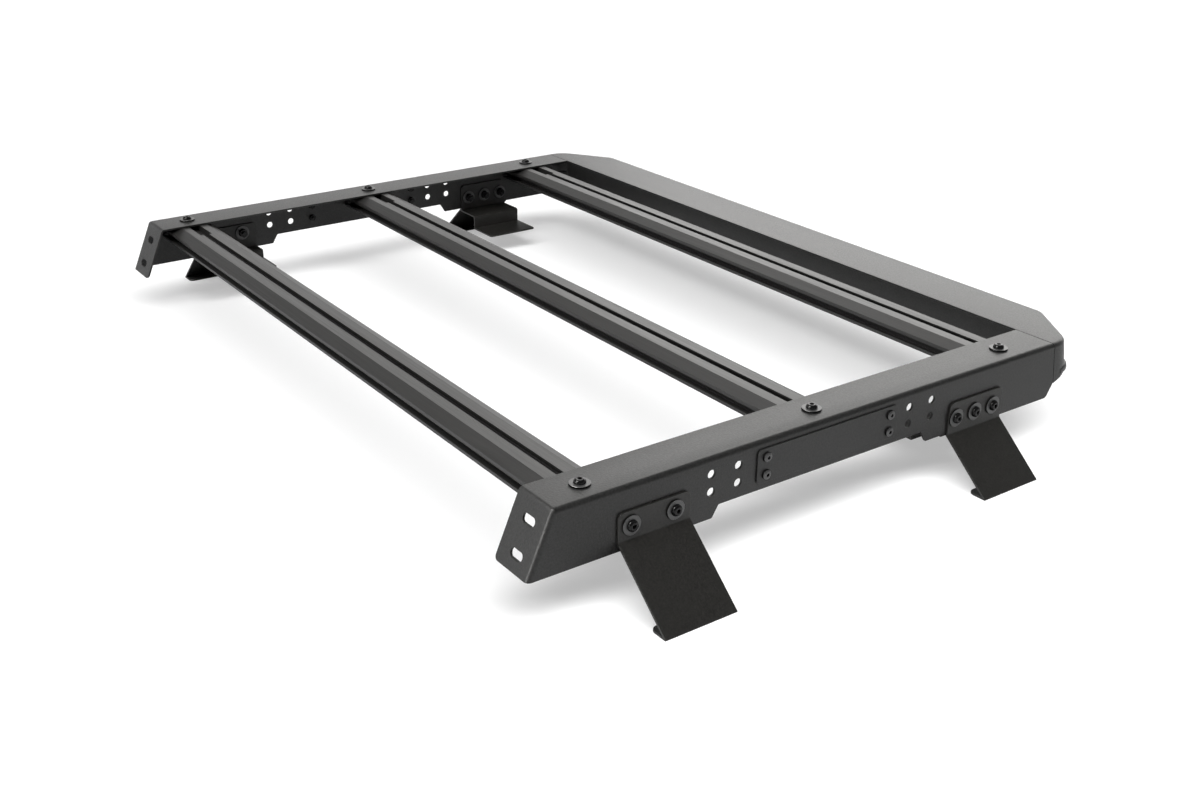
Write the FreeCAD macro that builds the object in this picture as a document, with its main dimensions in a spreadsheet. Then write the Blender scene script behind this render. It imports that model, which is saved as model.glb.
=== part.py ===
"""Flat platform roof rack: two folded side rails, three slotted crossbars, a chamfered front
fairing, and four two-piece feet.

Sizes are in millimetres. Each piece is drawn with Y measured forward from the rear end of the
rail flanges and Z measured down from the top of the deck, and its Placement then sets it in the
rack's own frame: the origin is on the ground, midway between the ends and between the sides,
with +X to the right, +Y to the front and +Z up.
"""
import FreeCAD, Part
import math
import os
import Sketcher
from FreeCAD import Vector

SIZES = [
    ("rack_width", 1200, "outer face to outer face of the rails"),
    ("deck_height", 140, "top of the deck above the ground"),
    ("gauge", 3, "sheet of rails, feet and fairing"),
    ("flange_width", 64, "top flange of a rail"),
    ("rail_length", 791, "rear end of the flange to the fairing seam"),
    ("web_depth", 76.4, "side of the rail at its ends"),
    ("web_waist", 61.5, "side of the rail between the steps"),
    ("tab_lean", 33.6, "how far the rear tab leans back at its foot"),
    ("bend_outer", 6, "outer radius of the rail's bends"),
    ("step_rear", 211, "rear step of the web, low corner"),
    ("step_front", 236, "front step of the web, low corner behind the seam"),
    ("step_run", 9, "length of each slanted step"),
    ("lobe_end", 3, "low front corner of the web behind the seam"),
    ("seam_depth", 58, "height of the seam between web and fairing"),
    ("seam_lean", 8, "forward lean of the seam on the sides, in degrees"),
    ("seam_gap", 0.7, "open line of the seam"),
    ("rake", 12.4, "forward lean of the fairing's apron, in degrees"),
    ("step_round", 3.5, "round on the steps' corners"),
    ("lobe_round", 8, "round on the web's low front corner"),
    ("tab_round", 6, "round on the tab's low inner corner"),
    ("row_upper", 20.5, "upper row of web holes below the deck"),
    ("row_pitch", 22, "between the rows of web holes"),
    ("group_rear", 208, "first hole of the rear group"),
    ("group_front", 271, "first hole of the front group, behind the seam"),
    ("group_pitch", 39, "between the holes of a group"),
    ("web_hole", 10.5, "diameter of the accessory holes"),
    ("tab_slot_length", 22, "slot in the rear tab"),
    ("tab_slot_width", 9.8, "slot in the rear tab"),
    ("tab_slot_upper", 23, "upper slot below the deck"),
    ("tab_slot_lower", 59, "lower slot below the deck"),
    ("bolt_hole", 8.6, "clearance for the main bolts"),
    ("screw_hole", 6.6, "clearance for the side plates' screws"),
    ("bar_rear", 54, "centre of the rear crossbar"),
    ("bar_front", 74, "centre of the front crossbar behind the seam"),
    ("bar_width", 71.6, "crossbar"),
    ("bar_height", 26, "crossbar"),
    ("bar_flat", 41, "width of the crossbar's flat top"),
    ("bar_drop", 7.5, "fall of the crossbar's shoulder"),
    ("bar_end_gap", 3.2, "crossbar end to web"),
    ("slot_open", 9.2, "mouth of every slot"),
    ("slot_wide", 18, "inside of the top slot"),
    ("slot_deep", 10, "depth of the top slot"),
    ("slot_lip", 2.5, "lips of the slots"),
    ("side_lip", 5, "face above a side slot"),
    ("side_hook", 2.2, "lips' overhang in a side slot"),
    ("side_deep", 11, "depth of a side slot"),
    ("bar_wall", 2.4, "walls between the bar's chambers"),
    ("notch_reach", 52, "loading notch of the top slot, from the flange's edge inwards"),
    ("notch_under", 14, "loading notch, under the flange"),
    ("fairing_reach", 88, "fairing top, seam to front edge"),
    ("chamfer_side", 61, "fairing corner, measured along the side"),
    ("chamfer_front", 90.5, "fairing corner, measured along the front"),
    ("corner_side", 40, "round between side and chamfer"),
    ("corner_front", 22, "round between chamfer and front"),
    ("apron_depth", 47.5, "front apron below the deck"),
    ("trim_height", 11, "edge trim on the apron"),
    ("trim_cheek", 4.5, "edge trim, proud of the apron's front and corners"),
    ("trim_inner", 2.5, "edge trim on the apron's inside"),
    ("trim_under", 2, "edge trim under the apron's edge"),
    ("trim_round", 4, "rounds along the edge trim"),
    ("trim_corner", 42, "edge trim's round between side and chamfer"),
    ("trim_start", 15, "edge trim's start, behind the corner between side and chamfer"),
    ("wall_depth", 58, "fairing's rear wall below the deck"),
    ("wall_return", 22, "rear wall's top flange"),
    ("splice_width", 32, "plate under the seam"),
    ("splice_length", 60, "plate under the seam"),
    ("splice_inset", 26, "plate under the seam, from the web"),
    ("plate_length", 224, "side plate"),
    ("plate_height", 43, "side plate"),
    ("plate_gauge", 2, "side plate"),
    ("plate_top", 9.7, "side plate below the deck"),
    ("plate_margin", 13.5, "plate's screws from its ends"),
    ("plate_round", 6, "corners of the side plate"),
    ("leg_slope", 48.8, "leg's angle from upright, in degrees"),
    ("foot_lip", 29, "foot's inward lip"),
    ("foot_round", 8, "corners of the foot's plate"),
    ("foot_bend", 3.2, "outer radius of the foot's bends"),
    ("toe_bend", 1.2, "outer radius of the bend at the foot's toe"),
    ("seat_round", 4, "round on the clamp's inner corners"),
    ("rear_foot", 79, "rear foot, rear edge"),
    ("rear_foot_width", 98, "rear foot"),
    ("rear_foot_top", 29, "rear foot's plate below the deck"),
    ("rear_foot_fold", 63.5, "rear foot's bend below the deck"),
    ("rear_foot_bolt", 17, "rear foot's first bolt from its rear edge"),
    ("rear_foot_pitch", 59.3, "between the rear foot's bolts"),
    ("rear_foot_row", 46, "rear foot's bolts below the deck"),
    ("front_foot", 198.5, "front foot, rear edge behind the seam"),
    ("front_foot_width", 99, "front foot"),
    ("front_foot_top", 34, "front foot's plate below the deck"),
    ("front_foot_fold", 77, "front foot's bend below the deck"),
    ("front_foot_bolt", 12, "front foot's first bolt from its rear edge"),
    ("front_foot_pitch", 34.2, "between the front foot's bolts"),
    ("front_foot_row", 55.3, "front foot's bolts below the deck"),
    ("clamp_shift", 4, "inner clamp set off from the rear foot, forward"),
    ("clamp_shift_front", 3, "inner clamp set off from the front foot, rearward"),
    ("rear_clamp_width", 98, "rear inner clamp"),
    ("front_clamp_width", 95, "front inner clamp"),
    ("clamp_top", 32, "inner clamp's plate below the deck"),
    ("rear_fold", 75, "rear clamp's shelf below the deck"),
    ("rear_shelf", 23, "rear clamp's shelf"),
    ("rear_fall", 14, "rear clamp's step down"),
    ("rear_seat", 56, "rear clamp's lower seat"),
    ("front_fold", 79, "front clamp's shelf below the deck"),
    ("front_shelf", 46.5, "front clamp's shelf"),
    ("front_fall", 23, "front clamp's step down"),
    ("front_seat", 58.5, "front clamp's lower seat"),
]

doc = FreeCAD.newDocument("platform_roof_rack")
dims = doc.addObject("Spreadsheet::Sheet", "dims")
for row, (name, size, note) in enumerate(SIZES, start=1):
    dims.set("A%d" % row, name)
    dims.set("B%d" % row, str(size))
    dims.set("C%d" % row, note)
    dims.setAlias("B%d" % row, name)
doc.recompute()

# Lengths in millimetres closer than this count as equal
NEAR = 1e-3

# Expressions that several pieces share
HALF = "dims.rack_width / 2"
WEB_INNER = "(dims.rack_width / 2 - dims.gauge)"
FLANGE_INNER = "(dims.rack_width / 2 - dims.flange_width)"
BOLT_X = "(dims.rack_width / 2 - dims.flange_width / 2)"
ROWS = ["-dims.row_upper", "-(dims.row_upper + dims.row_pitch)"]
BAR_PITCH = "(dims.rail_length - dims.bar_front - dims.bar_rear) / 2"
BAR_ROWS = ["(dims.bar_rear + %d * %s)" % (i, BAR_PITCH) for i in range(3)]
PLATE_MIDDLE = BAR_ROWS[1]
STEP_FRONT = "(dims.rail_length - dims.step_front)"
GROUP_FRONT = "(dims.rail_length - dims.group_front)"
FOOT_START = {"rear": "dims.rear_foot", "front": "(dims.rail_length - dims.front_foot)"}
FRONT_EDGE = "(dims.rail_length + dims.fairing_reach)"
SIDE_CORNER = "(dims.rail_length + dims.fairing_reach - dims.chamfer_side)"
LEAN = "tan(dims.rake)"
SEAM_LEAN = "tan(dims.seam_lean)"
SEAM = "(dims.rail_length + dims.seam_gap)"
# The edge trim's low front round reaches farthest
FRONT_REACH = ("(%s + dims.trim_cheek + (dims.apron_depth + dims.trim_under - dims.trim_round) * %s"
               " + dims.trim_round * (1 - 1 / cos(dims.rake)))" % (FRONT_EDGE, LEAN))
MIDDLE = "(%s - dims.tab_lean) / 2" % FRONT_REACH


def number(expression):
    """The value of an expression of the sheet's names."""
    result = dims.evalExpression(expression)
    return float(getattr(result, "Value", result))


def settle(piece):
    """Place a piece drawn from the deck's rear edge in the rack's own frame."""
    piece.setExpression("Placement.Base.y", "-(%s)" % MIDDLE)
    piece.setExpression("Placement.Base.z", "dims.deck_height")
    return piece


def new_body(label):
    """An empty body with its own label."""
    body = doc.addObject("PartDesign::Body", label)
    body.Label = label
    return body


def new_sketch(body, name, plane, offset=None):
    """A sketch on one of the body's origin planes, moved along the plane's normal."""
    sketch = body.newObject("Sketcher::SketchObject", name)
    origin_plane = [f for f in body.Origin.OriginFeatures if f.Role == plane][0]
    sketch.AttachmentSupport = [(origin_plane, "")]
    sketch.MapMode = "FlatFace"
    if offset is not None:
        sketch.setExpression("AttachmentOffset.Base.z", offset)
    return sketch


def pin(sketch, geometry, point, axis, expression):
    """Hold one coordinate of a sketch point at the value of an expression."""
    size = number(expression)
    if abs(size) < NEAR:
        axis_line = -2 if axis == "X" else -1
        sketch.addConstraint(Sketcher.Constraint("PointOnObject", geometry, point, axis_line))
        return
    kind = "Distance" + axis
    if size > 0:
        index = sketch.addConstraint(Sketcher.Constraint(kind, -1, 1, geometry, point, size))
        sketch.setExpression("Constraints[%d]" % index, expression)
    else:
        index = sketch.addConstraint(Sketcher.Constraint(kind, geometry, point, -1, 1, -size))
        sketch.setExpression("Constraints[%d]" % index, "-(%s)" % expression)


def outline(sketch, corners):
    """A closed outline of straight edges whose corners are pairs of expressions."""
    points = [Vector(number(x), number(y), 0) for x, y in corners]
    first = sketch.GeometryCount
    count = len(points)
    for i, start in enumerate(points):
        sketch.addGeometry(Part.LineSegment(start, points[(i + 1) % count]), False)
    for i in range(count):
        following = first + (i + 1) % count
        sketch.addConstraint(Sketcher.Constraint("Coincident", first + i, 2, following, 1))
    for i, (x, y) in enumerate(corners):
        pin(sketch, first + i, 1, "X", x)
        pin(sketch, first + i, 1, "Y", y)


def rectangle(sketch, low_x, high_x, low_y, high_y):
    """A rectangle between four expressions."""
    outline(sketch, [(low_x, low_y), (high_x, low_y), (high_x, high_y), (low_x, high_y)])


def circles(sketch, centres, diameter):
    """Equal circles at pairs of expressions."""
    for x, y in centres:
        circle = Part.Circle(Vector(number(x), number(y), 0), Vector(0, 0, 1), number(diameter) / 2)
        index = sketch.addGeometry(circle, False)
        pin(sketch, index, 3, "X", x)
        pin(sketch, index, 3, "Y", y)
        held = sketch.addConstraint(Sketcher.Constraint("Diameter", index, number(diameter)))
        sketch.setExpression("Constraints[%d]" % held, diameter)


def slot(sketch, x, y, length, width):
    """A slot with round ends, its long way along the sketch's X."""
    radius = number(width) / 2
    half_run = (number(length) - number(width)) / 2
    cx, cy = number(x), number(y)
    quarter = math.pi / 2
    low = Part.LineSegment(Vector(cx - half_run, cy - radius, 0), Vector(cx + half_run, cy - radius, 0))
    high = Part.LineSegment(Vector(cx + half_run, cy + radius, 0), Vector(cx - half_run, cy + radius, 0))
    right_end = Part.ArcOfCircle(Part.Circle(Vector(cx + half_run, cy, 0), Vector(0, 0, 1), radius),
                                 -quarter, quarter)
    left_end = Part.ArcOfCircle(Part.Circle(Vector(cx - half_run, cy, 0), Vector(0, 0, 1), radius),
                                quarter, 3 * quarter)
    a = sketch.addGeometry(low, False)
    b = sketch.addGeometry(right_end, False)
    c = sketch.addGeometry(high, False)
    d = sketch.addGeometry(left_end, False)
    for first, end, second, start in [(a, 2, b, 1), (b, 2, c, 1), (c, 2, d, 1), (d, 2, a, 1)]:
        sketch.addConstraint(Sketcher.Constraint("Tangent", first, end, second, start))
    sketch.addConstraint(Sketcher.Constraint("Horizontal", a))
    run = "(%s - %s) / 2" % (length, width)
    pin(sketch, b, 3, "X", "%s + %s" % (x, run))
    pin(sketch, b, 3, "Y", y)
    pin(sketch, d, 3, "X", "%s - %s" % (x, run))
    held = sketch.addConstraint(Sketcher.Constraint("Radius", b, radius))
    sketch.setExpression("Constraints[%d]" % held, "%s / 2" % width)


def pad(body, sketch, length, reverse=False):
    """Pad a sketch by the value of an expression."""
    feature = body.newObject("PartDesign::Pad", sketch.Name + "_pad")
    feature.Profile = sketch
    feature.Reversed = reverse
    feature.setExpression("Length", length)
    doc.recompute()
    return feature


def pocket(body, sketch):
    """Cut a sketch right through the body, both ways from its plane."""
    before = body.Shape.Volume
    feature = body.newObject("PartDesign::Pocket", sketch.Name + "_cut")
    feature.Profile = sketch
    feature.Type = "ThroughAll"
    feature.Midplane = True
    doc.recompute()
    if not feature.Shape.Volume < before - NEAR:
        raise ValueError("%s cuts nothing" % feature.Name)
    return feature


def fillet(body, name, radius, test):
    """Round every edge of the body that passes the test."""
    base = body.Tip
    chosen = ["Edge%d" % i for i, edge in enumerate(base.Shape.Edges, start=1) if test(edge)]
    if not chosen:
        raise ValueError("%s finds no edge" % name)
    feature = body.newObject("PartDesign::Fillet", name)
    feature.Base = (base, chosen)
    feature.setExpression("Radius", radius)
    doc.recompute()
    if feature.Shape.isNull():
        raise ValueError("%s did not round %d edges" % (name, len(chosen)))
    return feature


def is_straight(edge):
    """Whether an edge is a straight line with two ends."""
    return not edge.Degenerated and edge.Curve.TypeId == "Part::GeomLine"


def straight_at(edge, **places):
    """Whether a straight edge lies on every given coordinate, such as x=3."""
    if not is_straight(edge):
        return False
    ends = [vertex.Point for vertex in edge.Vertexes]
    return all(abs(getattr(end, axis) - place) < NEAR for axis, place in places.items() for end in ends)


def mirrored(source, label):
    """The piece's twin on the other side of the rack."""
    twin = doc.addObject("Part::Mirroring", label)
    twin.Label = label
    twin.Source = source
    twin.Normal = (1, 0, 0)
    return twin


# Rails: top flange, stepped web and leaning rear tab, folded from one sheet
def make_rail(label):
    body = new_body(label)
    web = new_sketch(body, "web_outline", "YZ_Plane", WEB_INNER)
    outline(web, [
        ("0", "0"),
        ("dims.rail_length", "0"),
        ("dims.rail_length + dims.seam_depth * " + SEAM_LEAN, "-dims.seam_depth"),
        ("dims.rail_length - dims.lobe_end", "-dims.web_depth"),
        (STEP_FRONT, "-dims.web_depth"),
        (STEP_FRONT + " - dims.step_run", "-dims.web_waist"),
        ("dims.step_rear + dims.step_run", "-dims.web_waist"),
        ("dims.step_rear", "-dims.web_depth"),
        ("-dims.tab_lean", "-dims.web_depth"),
    ])
    pad(body, web, "dims.gauge")
    flange = new_sketch(body, "flange_profile", "YZ_Plane", FLANGE_INNER)
    outline(flange, [
        ("0", "0"),
        ("dims.rail_length", "0"),
        ("dims.rail_length + dims.gauge * " + SEAM_LEAN, "-dims.gauge"),
        ("0", "-dims.gauge"),
    ])
    pad(body, flange, "dims.flange_width")
    tab = new_sketch(body, "tab_profile", "YZ_Plane", FLANGE_INNER)
    band = "dims.gauge * sqrt(1 + (dims.tab_lean / dims.web_depth)^2)"
    outline(tab, [
        ("0", "0"),
        (band, "0"),
        ("%s - dims.tab_lean" % band, "-dims.web_depth"),
        ("-dims.tab_lean", "-dims.web_depth"),
    ])
    pad(body, tab, "dims.flange_width")

    half = number(HALF)
    depth = number("dims.web_depth")
    waist = number("dims.web_waist")

    steps = [(number(STEP_FRONT), -depth),
             (number(STEP_FRONT + " - dims.step_run"), -waist),
             (number("dims.step_rear + dims.step_run"), -waist),
             (number("dims.step_rear"), -depth)]
    fillet(body, "step_rounds", "dims.step_round",
           lambda edge: any(straight_at(edge, y=y, z=z) for y, z in steps))
    fillet(body, "lobe_round", "dims.lobe_round",
           lambda edge: straight_at(edge, y=number("dims.rail_length - dims.lobe_end"), z=-depth))
    fillet(body, "tab_round", "dims.tab_round",
           lambda edge: straight_at(edge, x=number(FLANGE_INNER), z=-depth))

    def outer_bend(edge):
        along_top = straight_at(edge, x=half, z=0)
        rear_top = straight_at(edge, y=0, z=0)
        leaning = straight_at(edge, x=half) and all(
            abs(v.Y + number("dims.tab_lean") * -v.Z / depth) < NEAR for v in edge.Vertexes)
        return along_top or rear_top or leaning

    fillet(body, "outer_bends", "dims.bend_outer", outer_bend)
    fillet(body, "inner_bend", "dims.bend_outer - dims.gauge",
           lambda edge: straight_at(edge, x=number(WEB_INNER), z=-number("dims.gauge")))

    accessory = new_sketch(body, "accessory_holes", "YZ_Plane")
    columns = ["dims.group_rear", "dims.group_rear + dims.group_pitch",
               GROUP_FRONT, GROUP_FRONT + " + dims.group_pitch"]
    circles(accessory, [(y, z) for y in columns for z in ROWS], "dims.web_hole")
    pocket(body, accessory)
    plate_screws = new_sketch(body, "plate_screw_holes", "YZ_Plane")
    circles(plate_screws, [(y, z) for y in plate_columns() for z in ROWS], "dims.screw_hole")
    pocket(body, plate_screws)
    feet = new_sketch(body, "foot_holes", "YZ_Plane")
    circles(feet, foot_bolts("rear", 2) + foot_bolts("front", 3), "dims.bolt_hole")
    pocket(body, feet)
    bars = new_sketch(body, "bar_holes", "XY_Plane")
    circles(bars, [(BOLT_X, y) for y in BAR_ROWS], "dims.bolt_hole")
    pocket(body, bars)
    slots = new_sketch(body, "tab_slots", "XZ_Plane")
    for z in ("-dims.tab_slot_upper", "-dims.tab_slot_lower"):
        slot(slots, BOLT_X, z, "dims.tab_slot_length", "dims.tab_slot_width")
    pocket(body, slots)
    return settle(body)


def plate_columns():
    """Screw columns of the side plate, about the middle crossbar."""
    reach = "(dims.plate_length / 2 - dims.plate_margin)"
    return ["%s - %s" % (PLATE_MIDDLE, reach), "%s + %s" % (PLATE_MIDDLE, reach)]


def foot_bolts(end, count):
    """Centres of one foot's bolts on the web."""
    first, pitch, line = ["dims.%s_foot_%s" % (end, word) for word in ("bolt", "pitch", "row")]
    return [("%s + %s + %d * %s" % (FOOT_START[end], first, i, pitch), "-" + line) for i in range(count)]


# Crossbars: one extruded section with a slot on top and one low on each side
def half_section():
    """Right half of the section from the top slot's lip to the bottom, Y then Z."""
    side = "dims.bar_width / 2"
    low = "-dims.bar_height"
    mouth_top = "-(dims.bar_drop + dims.side_lip)"
    mouth_low = "-(dims.bar_drop + dims.side_lip + dims.slot_open)"
    pocket_top = "-(dims.bar_drop + dims.side_lip - dims.side_hook)"
    pocket_low = "-(dims.bar_drop + dims.side_lip + dims.slot_open + dims.side_hook)"
    lip_face = "%s - dims.slot_lip" % side
    back = "%s - dims.side_deep" % side
    return [
        ("dims.slot_wide / 2", "-dims.slot_deep"),
        ("dims.slot_wide / 2", "-dims.slot_lip"),
        ("dims.slot_open / 2", "-dims.slot_lip"),
        ("dims.slot_open / 2", "0"),
        ("dims.bar_flat / 2", "0"),
        (side, "-dims.bar_drop"),
        (side, mouth_top),
        (lip_face, mouth_top),
        (lip_face, pocket_top),
        (back, pocket_top),
        (back, pocket_low),
        (lip_face, pocket_low),
        (lip_face, mouth_low),
        (side, mouth_low),
        (side, low),
    ]


def make_crossbar(label, centre):
    body = new_body(label)
    length = "2 * (dims.rack_width / 2 - dims.gauge - dims.bar_end_gap)"
    section = new_sketch(body, "section", "YZ_Plane", "-(%s) / 2" % length)
    right = half_section()
    left = [("-(%s)" % y, z) for y, z in reversed(right)]
    outline(section, right + left)
    # Hollow chambers inside the section
    back = "(dims.bar_width / 2 - dims.side_deep - dims.bar_wall)"
    floor = "-(dims.bar_height - dims.bar_wall)"
    outline(section, [("-" + back, "-(dims.slot_deep + dims.bar_wall)"),
                      (back, "-(dims.slot_deep + dims.bar_wall)"), (back, floor), ("-" + back, floor)])
    inner = "(dims.slot_wide / 2 + dims.bar_wall)"
    for sign in ("", "-"):
        outline(section, [(sign + inner, "-dims.bar_wall"),
                          (sign + "(dims.bar_flat / 2)", "-dims.bar_wall"),
                          (sign + "(dims.bar_flat / 2)", "-dims.slot_deep"),
                          (sign + inner, "-dims.slot_deep")])
    pad(body, section, length)
    notch = new_sketch(body, "loading_notch", "XY_Plane")
    rectangle(notch, "-(%s + dims.notch_under)" % FLANGE_INNER, "-(%s - dims.notch_reach)" % FLANGE_INNER,
              "-dims.slot_wide / 2", "dims.slot_wide / 2")
    cut = body.newObject("PartDesign::Pocket", "loading_notch_cut")
    cut.Profile = notch
    cut.setExpression("Length", "dims.slot_lip")
    doc.recompute()
    body.setExpression("Placement.Base.y", "%s - %s" % (centre, MIDDLE))
    body.setExpression("Placement.Base.z", "dims.deck_height - dims.gauge")
    return body


# Where the chamfer, set in by one distance, meets the side, set in by another, and the front
SLANT = "sqrt(dims.chamfer_side^2 + dims.chamfer_front^2)"
SIDE_MEETS = "(" + SIDE_CORNER + " - ((%s) * " + SLANT + " - (%s) * dims.chamfer_side) / dims.chamfer_front)"
FRONT_MEETS = ("(" + HALF + " - dims.chamfer_front - (%s) * (" + SLANT
               + " - dims.chamfer_front) / dims.chamfer_side)")


# Fairing: top plate and raked apron, open below and behind
def fairing_outline(body, name, inset, back, level, side_inset=None):
    """Outline of the fairing seen from above, set in by an expression at a level below the deck.

    The sides may have an inset of their own.
    """
    side_inset = side_inset or inset
    sketch = new_sketch(body, name, "XY_Plane", "-(%s)" % level)
    sketch.setExpression("AttachmentOffset.Base.y", "(%s) * %s" % (level, LEAN))
    half = "(%s - (%s))" % (HALF, side_inset)
    front = "(%s - (%s))" % (FRONT_EDGE, inset)
    side_y = SIDE_MEETS % (inset, side_inset)
    front_x = FRONT_MEETS % inset
    outline(sketch, [
        ("-" + half, back),
        (half, back),
        (half, side_y),
        (front_x, front),
        ("-" + front_x, front),
        ("-" + half, side_y),
    ])
    return sketch


def raked_pad(body, sketch, length, kind="PartDesign::Pad"):
    """Pad or pocket a sketch down along the apron's rake."""
    feature = body.newObject(kind, sketch.Name + "_raked")
    feature.Profile = sketch
    feature.UseCustomVector = True
    feature.Direction = Vector(0, number("sin(dims.rake)"), -number("cos(dims.rake)"))
    feature.setExpression("Direction.y", "sin(dims.rake)")
    feature.setExpression("Direction.z", "-cos(dims.rake)")
    feature.setExpression("Length", length)
    doc.recompute()
    return feature


def upright_corners(side, inset, side_inset=None):
    """A test for the raked edges at one pair of the fairing's corners."""
    side_inset = side_inset or inset
    if side:
        x, y = number("%s - (%s)" % (HALF, side_inset)), number(SIDE_MEETS % (inset, side_inset))
    else:
        x, y = number(FRONT_MEETS % inset), number("%s - (%s)" % (FRONT_EDGE, inset))
    lean = number(LEAN)

    def test(edge):
        if not is_straight(edge) or abs(edge.Vertexes[0].Z - edge.Vertexes[-1].Z) < NEAR:
            return False
        return all(abs(abs(v.X) - x) < NEAR and abs(v.Y - (y - lean * v.Z)) < NEAR for v in edge.Vertexes)
    return test


def make_fairing(label):
    body = new_body(label)
    behind = "dims.rail_length - dims.flange_width"
    outer = fairing_outline(body, "fairing_outer", "0", behind, "0")
    raked_pad(body, outer, "dims.web_depth")
    inner = fairing_outline(body, "fairing_inner", "dims.gauge", behind + " - dims.gauge", "dims.gauge")
    raked_pad(body, inner, "2 * dims.web_depth", "PartDesign::Pocket")
    fillet(body, "inner_side_corners", "dims.corner_side - dims.gauge",
           upright_corners(True, "dims.gauge"))
    fillet(body, "inner_front_corners", "dims.corner_front - dims.gauge",
           upright_corners(False, "dims.gauge"))
    fillet(body, "side_corners", "dims.corner_side", upright_corners(True, "0"))
    fillet(body, "front_corners", "dims.corner_front", upright_corners(False, "0"))
    # Cut along the seam, then up the apron's side to the front's lower edge
    seam = new_sketch(body, "seam_and_foot", "YZ_Plane")
    low = "-2 * dims.web_depth"
    outline(seam, [
        ("%s - dims.gauge * %s" % (SEAM, SEAM_LEAN), "dims.gauge"),
        ("%s + dims.seam_depth * %s" % (SEAM, SEAM_LEAN), "-dims.seam_depth"),
        ("%s + dims.apron_depth * %s" % (SIDE_CORNER, LEAN), "-dims.apron_depth"),
        ("2 * %s" % FRONT_EDGE, "-dims.apron_depth"),
        ("2 * %s" % FRONT_EDGE, low),
        (behind + " - 2 * dims.gauge", low),
        (behind + " - 2 * dims.gauge", "dims.gauge"),
    ])
    pocket(body, seam)
    fillet(body, "top_edge", "dims.bend_outer",
           lambda edge: all(abs(v.Z) < NEAR for v in edge.Vertexes) and edge.CenterOfMass.z > -NEAR
           and not straight_at(edge, y=number(SEAM)))
    return settle(body)


def make_trim(label):
    """Rounded channel on the lower edge of the apron's front and corners.

    It starts nearly flush with the apron's sides and stands proud of the chamfers and the front.
    """
    body = new_body(label)
    start = "(dims.apron_depth + dims.trim_under - dims.trim_height)"
    outer = fairing_outline(body, "trim_outer", "-dims.trim_cheek", SEAM, start, side_inset="0")
    raked_pad(body, outer, "dims.trim_height")
    inside = "dims.gauge + dims.trim_inner"
    hollow = fairing_outline(body, "trim_hollow", inside, "dims.rail_length - dims.flange_width", start)
    raked_pad(body, hollow, "2 * dims.trim_height", "PartDesign::Pocket")
    fillet(body, "trim_hollow_corners", "dims.corner_side - (%s)" % inside, upright_corners(True, inside))
    fillet(body, "trim_hollow_front", "dims.corner_front - (%s)" % inside, upright_corners(False, inside))
    fillet(body, "trim_side_corners", "dims.trim_corner",
           upright_corners(True, "-dims.trim_cheek", "0"))
    fillet(body, "trim_front_corners", "dims.corner_front + dims.trim_cheek",
           upright_corners(False, "-dims.trim_cheek"))
    levels = [-number(start), -number("%s + dims.trim_height" % start)]

    def rolled(edge):
        level = any(all(abs(v.Z - z) < NEAR for v in edge.Vertexes) for z in levels)
        middle = edge.CenterOfMass
        reach = number("%s - %s" % (FRONT_EDGE, inside)) + middle.z * -number(LEAN)
        return level and abs(middle.x) < 1 and middle.y > reach + NEAR

    fillet(body, "trim_rolls", "dims.trim_round", rolled)
    # Cut away behind the start, along the rake
    ends = new_sketch(body, "trim_ends", "YZ_Plane")
    begin = "(%s - dims.trim_start)" % SIDE_CORNER
    outline(ends, [
        (begin, "0"),
        ("%s + dims.web_depth * %s" % (begin, LEAN), "-dims.web_depth"),
        ("0", "-dims.web_depth"),
        ("0", "0"),
    ])
    pocket(body, ends)
    return settle(body)


def channel_from_trim(blank, fairing, label):
    """The trim with the apron's sheet taken out of it."""
    cut = doc.addObject("Part::Cut", label)
    cut.Label = label
    cut.Base = blank
    cut.Tool = fairing
    return cut


def make_rear_wall(label):
    """Angle that closes the fairing behind: upright wall and a flange under the top plate."""
    body = new_body(label)
    profile = new_sketch(body, "wall_profile", "YZ_Plane", "-" + FLANGE_INNER)
    back = SEAM
    outline(profile, [
        (back, "-dims.gauge"),
        (back + " + dims.wall_return", "-dims.gauge"),
        (back + " + dims.wall_return", "-2 * dims.gauge"),
        (back + " + dims.gauge", "-2 * dims.gauge"),
        (back + " + dims.gauge", "-dims.wall_depth"),
        (back, "-dims.wall_depth"),
    ])
    pad(body, profile, "2 * " + FLANGE_INNER)
    return settle(body)


def make_splice(label):
    """Flat plate under the seam that ties the fairing to a rail."""
    body = new_body(label)
    sketch = new_sketch(body, "splice_outline", "XY_Plane", "-dims.gauge")
    outer = "(%s - dims.splice_inset)" % WEB_INNER
    rectangle(sketch, "%s - dims.splice_width" % outer, outer,
              "dims.rail_length - dims.splice_length / 2", "dims.rail_length + dims.splice_length / 2")
    pad(body, sketch, "dims.gauge", reverse=True)
    return settle(body)


# Side plates: bare plates screwed to the outside of the webs
def make_side_plate(label):
    body = new_body(label)
    sketch = new_sketch(body, "plate_outline", "YZ_Plane", HALF)
    low = "-(dims.plate_top + dims.plate_height)"
    rectangle(sketch, "%s - dims.plate_length / 2" % PLATE_MIDDLE, "%s + dims.plate_length / 2" % PLATE_MIDDLE,
              low, "-dims.plate_top")
    pad(body, sketch, "dims.plate_gauge")
    ends = [number("%s - dims.plate_length / 2" % PLATE_MIDDLE),
            number("%s + dims.plate_length / 2" % PLATE_MIDDLE)]
    levels = [number(low), number("-dims.plate_top")]
    fillet(body, "plate_rounds", "dims.plate_round",
           lambda edge: any(straight_at(edge, y=y, z=z) for y in ends for z in levels))
    holes = new_sketch(body, "plate_holes", "YZ_Plane")
    circles(holes, [(y, z) for y in plate_columns() for z in ROWS], "dims.screw_hole")
    pocket(body, holes)
    return settle(body)


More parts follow.
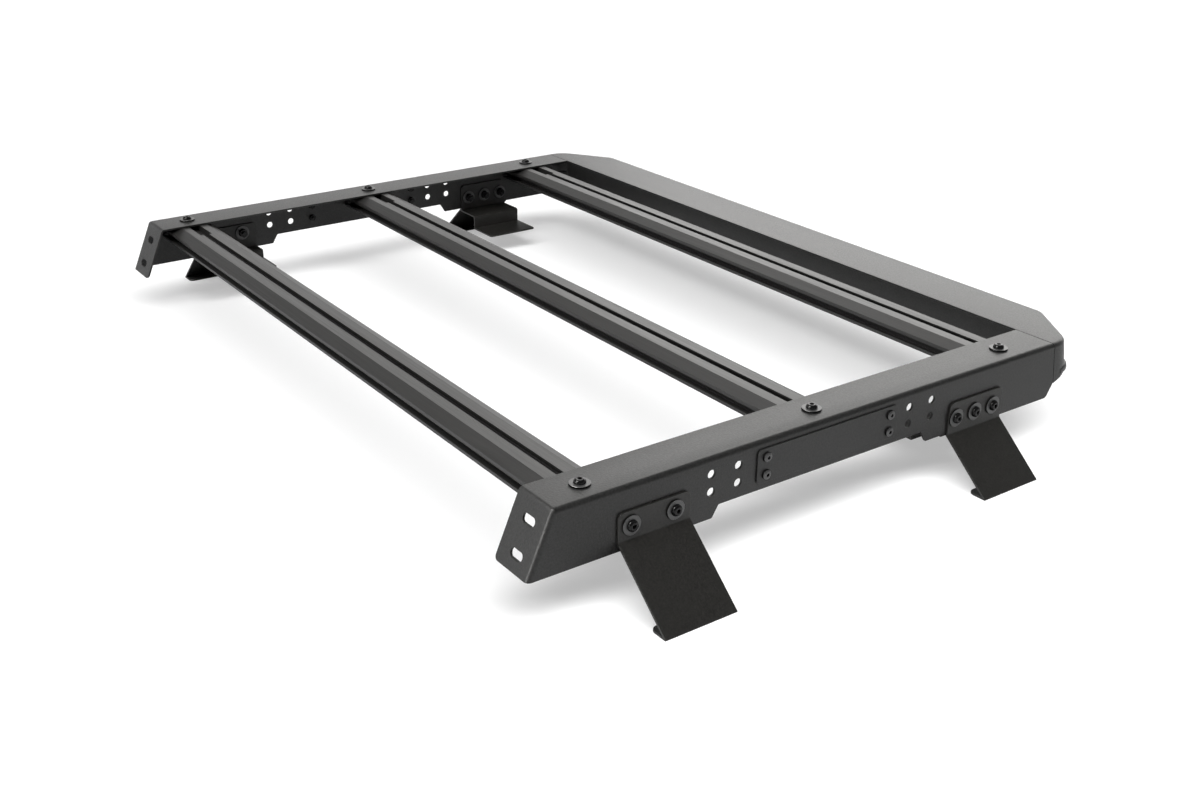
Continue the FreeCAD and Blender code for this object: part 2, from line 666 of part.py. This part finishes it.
# Feet: outside plate, sloping leg and inward lip on the ground
def make_foot(label, end, count):
    body = new_body(label)
    start = FOOT_START[end]
    width, top, fold = ["dims.%s_foot_%s" % (end, word) for word in ("width", "top", "fold")]
    profile = new_sketch(body, "leg_profile", "XZ_Plane", "-(%s + %s)" % (start, width))
    outer = "(%s + dims.gauge)" % HALF
    ground = "-dims.deck_height"
    toe = "(%s + (dims.deck_height - %s) * tan(dims.leg_slope))" % (outer, fold)
    miter = "dims.gauge * tan(dims.leg_slope / 2)"
    heel = "dims.gauge * (1 + sin(dims.leg_slope)) / cos(dims.leg_slope)"
    outline(profile, [
        (HALF, "-" + top),
        (outer, "-" + top),
        (outer, "-" + fold),
        (toe, ground),
        ("%s - dims.foot_lip" % toe, ground),
        ("%s - dims.foot_lip" % toe, "%s + dims.gauge" % ground),
        ("%s - %s" % (toe, heel), "%s + dims.gauge" % ground),
        (HALF, "-(%s + %s)" % (fold, miter)),
    ])
    pad(body, profile, width)
    ends = [number(start), number("%s + %s" % (start, width))]
    fillet(body, "plate_corners", "dims.foot_round",
           lambda edge: any(straight_at(edge, y=y, z=-number(top)) for y in ends))
    fillet(body, "toe_bend", "dims.toe_bend",
           lambda edge: straight_at(edge, x=number(toe), z=number(ground)))
    lip_end = number("%s - dims.foot_lip" % toe)
    fillet(body, "lip_corners", "dims.foot_round",
           lambda edge: any(straight_at(edge, x=lip_end, y=y) for y in ends))
    fillet(body, "knee_bend", "dims.foot_bend",
           lambda edge: straight_at(edge, x=number(outer), z=-number(fold)))
    holes = new_sketch(body, "bolt_holes", "YZ_Plane")
    circles(holes, foot_bolts(end, count), "dims.bolt_hole")
    cut = body.newObject("PartDesign::Pocket", "bolt_holes_cut")
    cut.Profile = holes
    cut.Reversed = True
    cut.setExpression("Length", "%s + 1.5 * dims.gauge" % HALF)
    doc.recompute()
    return settle(body)


# Inner clamps: plate on the inside of the web, shelf, step down and lower seat
def make_clamp(label, end, count, start):
    body = new_body(label)
    width = "dims.%s_clamp_width" % end
    profile = new_sketch(body, "clamp_profile", "XZ_Plane", "-(%s + %s)" % (start, width))
    shelf_z, shelf, fall, seat = ["dims.%s_%s" % (end, word) for word in ("fold", "shelf", "fall", "seat")]
    face = WEB_INNER
    plate_in = "(%s - dims.gauge)" % face
    step_x = "(%s - %s)" % (plate_in, shelf)
    seat_z = "(%s + %s)" % (shelf_z, fall)
    outline(profile, [
        (face, "-dims.clamp_top"),
        (plate_in, "-dims.clamp_top"),
        (plate_in, "-" + shelf_z),
        (step_x, "-" + shelf_z),
        (step_x, "-" + seat_z),
        ("%s - %s" % (step_x, seat), "-" + seat_z),
        ("%s - %s" % (step_x, seat), "-(%s + dims.gauge)" % seat_z),
        ("%s + dims.gauge" % step_x, "-(%s + dims.gauge)" % seat_z),
        ("%s + dims.gauge" % step_x, "-(%s + dims.gauge)" % shelf_z),
        (face, "-(%s + dims.gauge)" % shelf_z),
    ])
    pad(body, profile, width)
    ends = [number(start), number("%s + %s" % (start, width))]
    fillet(body, "plate_corners", "dims.foot_round",
           lambda edge: any(straight_at(edge, y=y, z=-number("dims.clamp_top")) for y in ends))
    bends = [(number(face), -number(shelf_z) - number("dims.gauge")),
             (number(step_x), -number(shelf_z)),
             (number(step_x) + number("dims.gauge"), -number(seat_z) - number("dims.gauge"))]
    fillet(body, "outer_bends", "dims.foot_bend",
           lambda edge: any(straight_at(edge, x=x, z=z) for x, z in bends))
    seat_end = number("%s - %s" % (step_x, seat))
    fillet(body, "seat_corners", "dims.seat_round",
           lambda edge: any(straight_at(edge, x=seat_end, y=y) for y in ends))
    holes = new_sketch(body, "bolt_holes", "YZ_Plane", plate_in + " - dims.gauge")
    circles(holes, foot_bolts(end, count), "dims.bolt_hole")
    cut = body.newObject("PartDesign::Pocket", "bolt_holes_cut")
    cut.Profile = holes
    cut.Reversed = True
    cut.setExpression("Length", "3 * dims.gauge")
    doc.recompute()
    return settle(body)


pieces = []
rail = make_rail("rail_right")
pieces += [rail, mirrored(rail, "rail_left")]
for place, centre in zip(("rear", "middle", "front"), BAR_ROWS):
    pieces.append(make_crossbar("crossbar_" + place, centre))
fairing = make_fairing("fairing")
trim_blank = make_trim("trim_blank")
pieces += [fairing, channel_from_trim(trim_blank, fairing, "fairing_edge_trim")]
pieces.append(make_rear_wall("fairing_rear_wall"))
for name, make in (("splice_plate", make_splice), ("side_plate", make_side_plate)):
    right_piece = make(name + "_right")
    pieces += [right_piece, mirrored(right_piece, name + "_left")]
CLAMP_STARTS = {"rear": "(%s + dims.clamp_shift)" % FOOT_START["rear"],
                "front": "(%s - dims.clamp_shift_front)" % FOOT_START["front"]}
for end, count in (("rear", 2), ("front", 3)):
    foot = make_foot("foot_%s_right" % end, end, count)
    clamp = make_clamp("clamp_%s_right" % end, end, count, CLAMP_STARTS[end])
    pieces += [foot, mirrored(foot, "foot_%s_left" % end)]
    pieces += [clamp, mirrored(clamp, "clamp_%s_left" % end)]
doc.recompute()

for item in doc.Objects:
    if "Invalid" in item.State or "Error" in item.State:
        raise ValueError("%s did not build" % item.Label)
for piece in pieces:
    if piece.Shape.isNull() or not piece.Shape.isValid() or piece.Shape.Volume <= 0:
        raise ValueError("%s has no valid solid" % piece.Label)

os.makedirs("parts", exist_ok=True)
for piece in pieces:
    piece.Shape.exportStep("parts/%s.step" % piece.Label)
    box = piece.Shape.BoundBox
    print("%-22s solids %d volume %.0f  X %.1f..%.1f  Y %.1f..%.1f  Z %.1f..%.1f" % (
        piece.Label, len(piece.Shape.Solids), piece.Shape.Volume,
        box.XMin, box.XMax, box.YMin, box.YMax, box.ZMin, box.ZMax))
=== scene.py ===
"""Looks of a flat platform roof rack: powder-coated folded rails and fairing, anodised slotted
crossbars, bracket feet, and the button-head screws, washers and nuts that hold them together.

Lengths are in metres in the rack's own frame: the origin is on the ground under the middle of the
rack, +X to the right, +Y to the front and +Z up.
"""
import math

import bmesh
import bpy
import numpy as np
from mathutils import Matrix, Vector


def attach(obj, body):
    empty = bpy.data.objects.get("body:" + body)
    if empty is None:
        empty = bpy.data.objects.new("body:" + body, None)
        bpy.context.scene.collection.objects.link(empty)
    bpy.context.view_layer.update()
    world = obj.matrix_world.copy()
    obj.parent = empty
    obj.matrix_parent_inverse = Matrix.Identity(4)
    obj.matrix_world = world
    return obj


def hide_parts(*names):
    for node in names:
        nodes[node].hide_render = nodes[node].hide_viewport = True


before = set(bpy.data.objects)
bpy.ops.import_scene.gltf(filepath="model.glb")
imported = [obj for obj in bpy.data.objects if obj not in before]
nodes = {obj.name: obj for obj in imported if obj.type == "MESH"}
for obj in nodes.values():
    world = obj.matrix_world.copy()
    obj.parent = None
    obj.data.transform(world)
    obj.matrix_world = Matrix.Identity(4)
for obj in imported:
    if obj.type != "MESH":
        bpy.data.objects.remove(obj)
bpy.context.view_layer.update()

# The deck's top, the outside of each rail's web, and the frame's origin forward of the deck's rear
DECK_TOP = 0.140
RAIL_FACE = 0.600
MID_Y = 0.429904
# Thickness of the rails, feet and clamps, and of the side plates
SHEET = 0.003
SIDE_PLATE = 0.002


def rack_y(mm):
    """A place measured forward from the rear end of the deck, in millimetres, as a frame Y."""
    return mm / 1000 - MID_Y


def rack_z(mm):
    """A depth below the deck's top, in millimetres, as a frame Z."""
    return DECK_TOP - mm / 1000


# Where the fasteners sit: X and Y on the deck, Y and Z on the rails' webs
FIRST_BAR_MM = 54.0
BAR_PITCH_MM = 331.5
DECK_BOLT_X = 0.568
DECK_BOLT_Y = [rack_y(FIRST_BAR_MM + BAR_PITCH_MM * bar) for bar in range(3)]
REAR_FOOT_BOLTS = [(rack_y(y), rack_z(46.0)) for y in (96.0, 155.3)]
FRONT_FOOT_BOLTS = [(rack_y(y), rack_z(55.3)) for y in (604.5, 638.7, 672.9)]
PLATE_SCREWS = [(rack_y(y), rack_z(z)) for y in (287.0, 484.0) for z in (20.5, 42.5)]


# Surfaces

def add_mesh(name, vertices, faces, smooth=True):
    """A new object whose mesh is the given vertices and quads."""
    mesh = bpy.data.meshes.new(name)
    mesh.from_pydata(np.asarray(vertices, float).tolist(), [], np.asarray(faces).tolist())
    mesh.validate()
    if smooth:
        mesh.polygons.foreach_set("use_smooth", [True] * len(mesh.polygons))
    obj = bpy.data.objects.new(name, mesh)
    bpy.context.scene.collection.objects.link(obj)
    return obj


def grid_faces(rows, columns):
    """Quads of a grid whose columns close on themselves: vertex (i, j) is i*columns + j."""
    i, j = np.meshgrid(np.arange(rows - 1), np.arange(columns), indexing="ij")
    a = i * columns + j
    b = i * columns + (j + 1) % columns
    return np.stack([a, b, b + columns, a + columns], axis=-1).reshape(-1, 4)


def turned(profile, sides, hex_rings=()):
    """Surface of revolution about Z: profile rows are (radius, height), each carried round the axis
    in equal steps. Rows named in hex_rings take a hexagon's radius, r cos(30)/cos(a mod 60 - 30),
    in place of the round one."""
    profile = np.asarray(profile, float)
    angle = np.arange(sides) * 2 * math.pi / sides
    radius = np.repeat(profile[:, :1], sides, axis=1)
    sector = math.pi / 3
    flats = math.cos(sector / 2) / np.cos(np.mod(angle, sector) - sector / 2)
    for ring in hex_rings:
        radius[ring] = profile[ring, 0] * flats
    x = radius * np.cos(angle)
    y = radius * np.sin(angle)
    z = np.repeat(profile[:, 1:], sides, axis=1)
    return np.stack([x, y, z], axis=-1).reshape(-1, 3), grid_faces(len(profile), sides)


def joined(parts):
    """One vertex array and one face array from several."""
    firsts = np.cumsum([0] + [len(vertices) for vertices, _ in parts[:-1]])
    faces = [part_faces + first for (_, part_faces), first in zip(parts, firsts)]
    return np.concatenate([vertices for vertices, _ in parts]), np.concatenate(faces)


def placed(vertices, centre, axis):
    """Vertices drawn about +Z carried to a centre with +Z turned to the axis."""
    turn = Vector((0, 0, 1)).rotation_difference(Vector(axis)).to_matrix()
    return vertices @ np.array(turn).T + np.asarray(centre)


def set_edges(mesh, sharp, flat=None):
    """Close a mesh's poles and seams, join its flat triangles, and keep edges past an angle sharp.

    Both angles are in degrees.
    """
    bm = bmesh.new()
    bm.from_mesh(mesh)
    bmesh.ops.remove_doubles(bm, verts=bm.verts, dist=1e-6)
    bmesh.ops.recalc_face_normals(bm, faces=bm.faces)
    if flat is not None:
        bmesh.ops.dissolve_limit(bm, angle_limit=math.radians(flat), verts=bm.verts, edges=bm.edges)
    for face in bm.faces:
        face.smooth = True
    limit = math.radians(sharp)
    for edge in bm.edges:
        edge.smooth = len(edge.link_faces) == 2 and edge.calc_face_angle(0.0) < limit
    bm.to_mesh(mesh)
    bm.free()


# Shapes of the screws, washers and nuts

HEAD_SIDES = 48
FASTENER_SHARP = 38.0


def button_head(radius, height, socket, depth):
    """Button-head screw with a hexagon socket sunk into its flat top.

    The dome is a quarter of an ellipse: at t from 0 to 1 its radius is
    R - (R - flat) (1 - cos(90 t)) and its height is h (0.12 + 0.88 sin(90 t)).
    """
    flat = socket * 0.78
    quarter = np.linspace(0, 1, 9) * math.pi / 2
    dome_r = radius - (radius - flat) * (1 - np.cos(quarter))
    dome_z = height * (0.12 + 0.88 * np.sin(quarter))
    under = [(0.0, 0.0), (radius * 0.985, 0.0), (radius, height * 0.05)]
    floor_z = height - depth
    hole = [(socket * 0.66, height), (socket * 0.56, height - 0.00015), (socket * 0.55, floor_z)]
    rows = under + list(zip(dome_r, dome_z)) + hole + [(0.0, floor_z - 0.0006)]
    first = len(rows) - len(hole) - 1
    return turned(rows, HEAD_SIDES, hex_rings=range(first, first + len(hole)))


def washer(outer, inner, gauge):
    """Flat washer: a rectangle with broken outer corners turned about the axis."""
    edge = gauge * 0.18
    rows = [(inner, 0.0), (outer - edge, 0.0), (outer, edge), (outer, gauge - edge),
            (outer - edge, gauge), (inner, gauge)]
    vertices, faces = turned(rows, HEAD_SIDES)
    j = np.arange(HEAD_SIDES)
    after = (j + 1) % HEAD_SIDES
    last = (len(rows) - 1) * HEAD_SIDES
    bore = np.stack([last + j, last + after, after, j], axis=-1)
    return vertices, np.concatenate([faces, bore])


def hex_nut(flats, height, stud, proud):
    """Hexagon nut with the screw's end standing proud of it."""
    corner = flats / math.sqrt(3)
    rows = [(0.0, 0.0), (corner * 0.96, 0.0), (corner, height * 0.08), (corner, height * 0.9),
            (flats / 2 * 1.01, height), (stud, height), (stud, height + proud * 0.8),
            (stud * 0.82, height + proud), (0.0, height + proud)]
    return turned(rows, HEAD_SIDES, hex_rings=(2, 3))


def fasteners(name, places, axis, shape, lift):
    """Equal fasteners at several places, each lifted off its place along the axis."""
    vertices, faces = shape
    centres = np.asarray(places, float) + np.asarray(axis, float) * lift
    obj = add_mesh(name, *joined([(placed(vertices, centre, axis), faces) for centre in centres]))
    set_edges(obj.data, FASTENER_SHARP)
    return obj


# Finishes

def node(tree, kind, **values):
    """A shader node with its named settings and inputs."""
    made = tree.nodes.new(kind)
    for key, value in values.items():
        if key in made.inputs:
            made.inputs[key].default_value = value
        else:
            setattr(made, key, value)
    return made


def remapped(tree, value, low, high, to_low, to_high, curve="LINEAR"):
    """A socket's value carried from one range to another."""
    made = node(tree, "ShaderNodeMapRange", interpolation_type=curve,
                **{"From Min": low, "From Max": high, "To Min": to_low, "To Max": to_high})
    tree.links.new(value, made.inputs["Value"])
    return made.outputs["Result"]


def maths(tree, operation, *terms):
    """The result of an operation on terms that are sockets or numbers."""
    made = node(tree, "ShaderNodeMath", operation=operation)
    for place, term in enumerate(terms):
        if isinstance(term, float):
            made.inputs[place].default_value = term
        else:
            tree.links.new(term, made.inputs[place])
    return made.outputs[0]


def start_material(name, roughness, specular=0.5):
    """A material with one Principled shader whose constants sit on its own sockets."""
    material = bpy.data.materials.new(name)
    material.use_nodes = True
    tree = material.node_tree
    shader = tree.nodes["Principled BSDF"]
    shader.inputs["Roughness"].default_value = roughness
    shader.inputs["Specular IOR Level"].default_value = specular
    shader.inputs["Metallic"].default_value = 0.0
    return material, tree, shader


# The part of a noise texture's range that carries most of its area
NOISE_LOW, NOISE_HIGH = 0.3, 0.7


def colour_noise(tree, shader, coords, dark, light, scale, detail=3.0):
    """Base colour that drifts between two close tones."""
    noise = node(tree, "ShaderNodeTexNoise", Scale=scale, Detail=detail)
    ramp = node(tree, "ShaderNodeValToRGB")
    stops = ((NOISE_LOW, dark), (NOISE_HIGH, light))
    for element, (place, tone) in zip(ramp.color_ramp.elements, stops):
        element.position = place
        element.color = (*tone, 1)
    tree.links.new(coords, noise.inputs["Vector"])
    tree.links.new(noise.outputs["Fac"], ramp.inputs["Fac"])
    tree.links.new(ramp.outputs["Color"], shader.inputs["Base Color"])


def rough_noise(tree, shader, coords, low, high, scale):
    """Roughness that drifts between two values."""
    noise = node(tree, "ShaderNodeTexNoise", Scale=scale, Detail=4.0)
    tree.links.new(coords, noise.inputs["Vector"])
    spread = remapped(tree, noise.outputs["Fac"], NOISE_LOW, NOISE_HIGH, low, high)
    tree.links.new(spread, shader.inputs["Roughness"])


def grain(tree, shader, coords, scale, strength, distance):
    """Fine relief of a sprayed or drawn surface."""
    noise = node(tree, "ShaderNodeTexNoise", Scale=scale, Detail=2.0, Roughness=0.6)
    bump = node(tree, "ShaderNodeBump", Strength=strength, Distance=distance)
    tree.links.new(coords, noise.inputs["Vector"])
    tree.links.new(noise.outputs["Fac"], bump.inputs["Height"])
    tree.links.new(bump.outputs["Normal"], shader.inputs["Normal"])


def powder_coat(name, dark, light, roughness, relief=0.56):
    """Fine-textured black powder coat: a mottle of tone and gloss over orange-peel relief, its
    grains about 2 mm wide."""
    material, tree, shader = start_material(name, roughness)
    coords = node(tree, "ShaderNodeTexCoord").outputs["Object"]
    colour_noise(tree, shader, coords, dark, light, 420.0, 4.0)
    rough_noise(tree, shader, coords, roughness - 0.05, roughness + 0.05, 480.0)
    grain(tree, shader, coords, 480.0, relief, 0.00030)
    return material


def anodised(name, dark, light, roughness):
    """Matt black anodised extrusion: faint draw lines along the bar, noise stretched in X."""
    material, tree, shader = start_material(name, roughness)
    coords = node(tree, "ShaderNodeTexCoord").outputs["Object"]
    stretch = node(tree, "ShaderNodeMapping", Scale=(0.02, 1.0, 1.0))
    tree.links.new(coords, stretch.inputs["Vector"])
    along = stretch.outputs["Vector"]
    colour_noise(tree, shader, along, dark, light, 700.0)
    rough_noise(tree, shader, along, roughness - 0.05, roughness + 0.05, 500.0)
    grain(tree, shader, along, 1800.0, 0.15, 0.00006)
    return material


def oxide(name, dark, light, roughness, specular):
    """Black-oxide steel of screws, washers and nuts, with small uneven patches."""
    material, tree, shader = start_material(name, roughness, specular)
    coords = node(tree, "ShaderNodeTexCoord").outputs["Object"]
    colour_noise(tree, shader, coords, dark, light, 900.0)
    rough_noise(tree, shader, coords, roughness - 0.03, roughness + 0.04, 800.0)
    return material


RAIL_COAT = powder_coat(
    "rail_powder_coat", (0.0034, 0.0034, 0.0032), (0.0146, 0.0146, 0.0141), 0.42)
BRACKET_COAT = powder_coat(
    "bracket_powder_coat", (0.0064, 0.0061, 0.0056), (0.0141, 0.0136, 0.0123), 0.46)
PLATE_COAT = powder_coat(
    "plate_powder_coat", (0.0036, 0.0036, 0.0035), (0.0129, 0.0129, 0.0125), 0.42, relief=0.40)
BAR_FINISH = anodised(
    "bar_anodised_finish", (0.0135, 0.0130, 0.0125), (0.0195, 0.0190, 0.0182), 0.42)
SCREW_FINISH = oxide("screw_black_oxide", (0.003, 0.003, 0.003), (0.006, 0.006, 0.006), 0.16, 0.25)
WASHER_FINISH = oxide(
    "washer_black_oxide", (0.020, 0.020, 0.020), (0.027, 0.027, 0.027), 0.40, 1.0)
# Painted shade: the washers' rims get a near-black, barely reflective finish that stands in for the
# shade that falls on them
RIM_PAINTED_SHADE = oxide("washer_rim_painted_shade", (0.002, 0.002, 0.002), (0.004, 0.004, 0.004), 0.50, 0.08)

# The record's material slots
RAIL_SLOT = "rail_powder_black"
BRACKET_SLOT = "bracket_powder_black"
PLATE_SLOT = "plate_powder_black"
BAR_SLOT = "bar_anodised_black"

# By the start of a CAD node's name: its finish, its slot, the width in metres of its eased edges
# and the angle in degrees past which an edge shades sharp. The crossbars' shoulders meet at 26.
LOOKS = {
    "crossbar": (BAR_FINISH, BAR_SLOT, 0.00035, 18.0),
    "side_plate": (PLATE_COAT, PLATE_SLOT, 0.0003, 32.0),
    "foot": (BRACKET_COAT, BRACKET_SLOT, 0.0005, 32.0),
    "clamp": (BRACKET_COAT, BRACKET_SLOT, 0.0005, 32.0),
    "rail": (RAIL_COAT, RAIL_SLOT, 0.0004, 32.0),
    "fairing": (RAIL_COAT, RAIL_SLOT, 0.0004, 32.0),
    "splice": (RAIL_COAT, RAIL_SLOT, 0.0004, 32.0),
}
FLAT_ANGLE = 0.2
EASED_ANGLE = 40.0


def eased(name, width, sharp):
    """A node's shape with its sheet's edges broken by a narrow round, as filed metal has."""
    mesh = nodes[name].data.copy()
    mesh.name = name + "_eased"
    if mesh.attributes.get("custom_normal"):
        mesh.attributes.remove(mesh.attributes["custom_normal"])
    set_edges(mesh, sharp, FLAT_ANGLE)
    obj = bpy.data.objects.new(name + "_eased", mesh)
    bpy.context.scene.collection.objects.link(obj)
    ease = obj.modifiers.new("ease", "BEVEL")
    ease.width = width
    ease.segments = 2
    ease.limit_method = "ANGLE"
    ease.angle_limit = math.radians(EASED_ANGLE)
    ease.use_clamp_overlap = False
    ease.harden_normals = True
    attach(obj, "root")
    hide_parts(name)
    return obj


# The edge trim is round already and keeps its own node
for name, obj in nodes.items():
    look = next(look for start, look in LOOKS.items() if name.startswith(start))
    finish, slot, width, sharp = look
    obj.data.materials.clear()
    obj.data.materials.append(finish)
    if name != "fairing_edge_trim":
        eased(name, width, sharp)

# Screws, washers and nuts

WASHER_GAUGE = 0.0022
M8_HEAD = button_head(0.0070, 0.0044, 0.0050, 0.0026)
M8_WASHER = washer(0.0120, 0.0042, WASHER_GAUGE)
M8_NUT = hex_nut(0.0130, 0.0065, 0.0040, 0.0035)
M6_HEAD = button_head(0.0063, 0.0035, 0.0042, 0.0022)
M6_NUT = hex_nut(0.0100, 0.0050, 0.0030, 0.0025)
UP = (0, 0, 1)


def paint_rim_shade(mesh, axis):
    """Give the faces that stand round the fasteners' axis a near-black, barely reflective finish:
    painted shade on the washers' rims.
    """
    normals = np.empty(len(mesh.polygons) * 3)
    mesh.polygons.foreach_get("normal", normals)
    facing = np.abs(normals.reshape(-1, 3) @ np.asarray(axis, float))
    mesh.materials.append(RIM_PAINTED_SHADE)
    mesh.polygons.foreach_set("material_index", (facing < 0.5).astype(np.int32))


def add_hardware(name, places, axis, shape, finish, lift=0.0):
    """Fasteners with their finish, riding on the rack."""
    obj = fasteners(name, places, axis, shape, lift)
    obj.data.materials.append(finish)
    # Washers get painted shade on their rims
    if finish is WASHER_FINISH:
        paint_rim_shade(obj.data, axis)
    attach(obj, "root")


def add_bolts(screws, under, places, axis):
    """M8 screws, each with a washer under its head."""
    add_hardware(under, places, axis, M8_WASHER, WASHER_FINISH)
    add_hardware(screws, places, axis, M8_HEAD, SCREW_FINISH, WASHER_GAUGE)


for side, sign in (("right", 1), ("left", -1)):
    out = (sign, 0, 0)
    inward = (-sign, 0, 0)
    deck = [(sign * DECK_BOLT_X, y, DECK_TOP) for y in DECK_BOLT_Y]
    add_bolts("deck_screws_" + side, "deck_washers_" + side, deck, UP)
    for end, bolts in (("rear", REAR_FOOT_BOLTS), ("front", FRONT_FOOT_BOLTS)):
        tag = "%s_%s" % (end, side)
        face = [(sign * (RAIL_FACE + SHEET), y, z) for y, z in bolts]
        back = [(sign * (RAIL_FACE - 2 * SHEET), y, z) for y, z in bolts]
        add_bolts("foot_screws_" + tag, "foot_washers_" + tag, face, out)
        add_hardware("foot_back_washers_" + tag, back, inward, M8_WASHER, WASHER_FINISH)
        add_hardware("foot_nuts_" + tag, back, inward, M8_NUT, SCREW_FINISH,
                     WASHER_GAUGE)
    face = [(sign * (RAIL_FACE + SIDE_PLATE), y, z) for y, z in PLATE_SCREWS]
    back = [(sign * (RAIL_FACE - SHEET), y, z) for y, z in PLATE_SCREWS]
    add_hardware("plate_screws_" + side, face, out, M6_HEAD, WASHER_FINISH)
    add_hardware("plate_nuts_" + side, back, inward, M6_NUT, SCREW_FINISH)

# Floor: its own light is dim round the rack, so that the shadow shows, and plain white farther off

FLOOR_HALF = 9.0
FLOOR_CORNERS = [(-FLOOR_HALF, -FLOOR_HALF, 0), (FLOOR_HALF, -FLOOR_HALF, 0),
                 (FLOOR_HALF, FLOOR_HALF, 0), (-FLOOR_HALF, FLOOR_HALF, 0)]
FLOOR_TONE = 0.60
NEAR_STRENGTH, FAR_STRENGTH = 0.42, 1.0
NEAR_REACH, FAR_REACH = 1.1, 2.4
floor = add_mesh("floor", FLOOR_CORNERS, [(0, 1, 2, 3)], smooth=False)


def seen_directly(tree):
    """A strength for rays from the camera or through glass, and 0 for all others, that rises with
    the distance from the rack's middle."""
    away = node(tree, "ShaderNodeVectorMath", operation="LENGTH")
    tree.links.new(node(tree, "ShaderNodeTexCoord").outputs["Object"], away.inputs[0])
    strength = remapped(tree, away.outputs["Value"], NEAR_REACH, FAR_REACH,
                        NEAR_STRENGTH, FAR_STRENGTH, "SMOOTHSTEP")
    path = node(tree, "ShaderNodeLightPath")
    clear = maths(tree, "MAXIMUM", path.outputs["Is Camera Ray"],
                  path.outputs["Is Transmission Ray"])
    return maths(tree, "MULTIPLY", clear, strength)


floor_paint, floor_tree, floor_shader = start_material("floor_white", 0.9, specular=0.0)
floor_shader.inputs["Base Color"].default_value = (FLOOR_TONE, FLOOR_TONE, FLOOR_TONE, 1)
floor_shader.inputs["Emission Color"].default_value = (1, 1, 1, 1)
floor_tree.links.new(seen_directly(floor_tree), floor_shader.inputs["Emission Strength"])
floor.data.materials.append(floor_paint)

# Studio: white to the camera. To other rays it is white near the horizon and dim overhead and on
# the right, since its strength falls with the ray's Z and X, and half as strong in diffuse light.

scene = bpy.context.scene
scene.view_settings.view_transform = "Standard"
world = scene.world or bpy.data.worlds.new("studio")
scene.world = world
world.use_nodes = True
sky_tree = world.node_tree
sky_tree.nodes.clear()
sky = node(sky_tree, "ShaderNodeBackground", Color=(1, 1, 1, 1))
sky_out = node(sky_tree, "ShaderNodeOutputWorld")
sky_tree.links.new(sky.outputs[0], sky_out.inputs["Surface"])
ray = node(sky_tree, "ShaderNodeSeparateXYZ")
sky_tree.links.new(node(sky_tree, "ShaderNodeTexCoord").outputs["Generated"], ray.inputs[0])
overhead = remapped(sky_tree, ray.outputs["Z"], 0.20, 0.60, 1.0, 0.10, "SMOOTHSTEP")
rightward = remapped(sky_tree, ray.outputs["X"], -0.05, 0.45, 1.0, 0.12, "SMOOTHSTEP")
path = node(sky_tree, "ShaderNodeLightPath")
share = maths(sky_tree, "MULTIPLY_ADD", path.outputs["Is Glossy Ray"], 0.5, 0.5)
dimmed = maths(sky_tree, "MULTIPLY", maths(sky_tree, "MULTIPLY", overhead, rightward), share)
sky_tree.links.new(maths(sky_tree, "MAXIMUM", path.outputs["Is Camera Ray"], dimmed),
                   sky.inputs["Strength"])


def soft_light(name, position, target, width, height, power):
    """A rectangular area light aimed at a point, its width level."""
    data = bpy.data.lights.new(name, "AREA")
    data.shape = "RECTANGLE"
    data.size = width
    data.size_y = height
    data.energy = power
    lamp = bpy.data.objects.new(name, data)
    lamp.location = position
    aim = Vector(target) - Vector(position)
    lamp.rotation_euler = aim.to_track_quat("-Z", "Y").to_euler()
    scene.collection.objects.link(lamp)
    return lamp


# One broad ceiling light casts the soft shadow. The panels show only in the reflections: each row
# is a name, a position, a target, a width, a height and a power in watts.
CEILING = ("ceiling", (2.5, -1.7, 5.4), (0.5, -1.2, 0), 11.5, 3.0, 900)
PANELS = (
    ("front_left", (-1.6, 3.25, 1.65), (0, 0.1, 0.1), 4.0, 1.4, 64),
    ("left_high", (-1.7, 0.95, 2.5), (0, 0, 0.1), 1.6, 1.6, 17),
    ("left_low", (-3.3, 1.15, 1.1), (0, 0, 0.1), 1.6, 1.2, 5.5),
    ("glint_high", (0.15, -1.9, 2.2), (0.58, -0.3, 0.12), 1.2, 1.2, 105),
    ("glint_low", (0.15, -3.2, 0.85), (0.58, -0.3, 0.12), 1.2, 1.2, 44),
)
PANEL_COLOUR = (1.0, 0.988, 0.968)
soft_light(*CEILING).visible_glossy = False
for row in PANELS:
    panel = soft_light(*row)
    panel.data.color = PANEL_COLOUR
    panel.visible_diffuse = False

# Camera: place, aim and lens from the photograph's own straight lines
AZIMUTH = math.radians(54.26)
ELEVATION = math.radians(24.30)
ROLL = math.radians(0.50)
CAMERA_AT = Vector((1.6299, -1.114807, 0.8207))
LENS_MM = 41.78
back = Vector((math.sin(AZIMUTH) * math.cos(ELEVATION), -math.cos(AZIMUTH) * math.cos(ELEVATION),
               math.sin(ELEVATION)))
right = (-back).cross(Vector((0, 0, 1))).normalized()
above = back.cross(right)
across = right * math.cos(ROLL) + above * math.sin(ROLL)
upward = above * math.cos(ROLL) - right * math.sin(ROLL)
turn = Matrix((across, upward, back)).transposed().to_4x4()
camera_data = bpy.data.cameras.new("camera")
camera_data.sensor_fit = "HORIZONTAL"
camera_data.sensor_width = 36.0
camera_data.lens = LENS_MM
camera_data.clip_start = 0.05
camera_data.clip_end = 60.0
camera = bpy.data.objects.new("camera", camera_data)
camera.matrix_world = Matrix.Translation(CAMERA_AT) @ turn
scene.collection.objects.link(camera)
scene.camera = camera
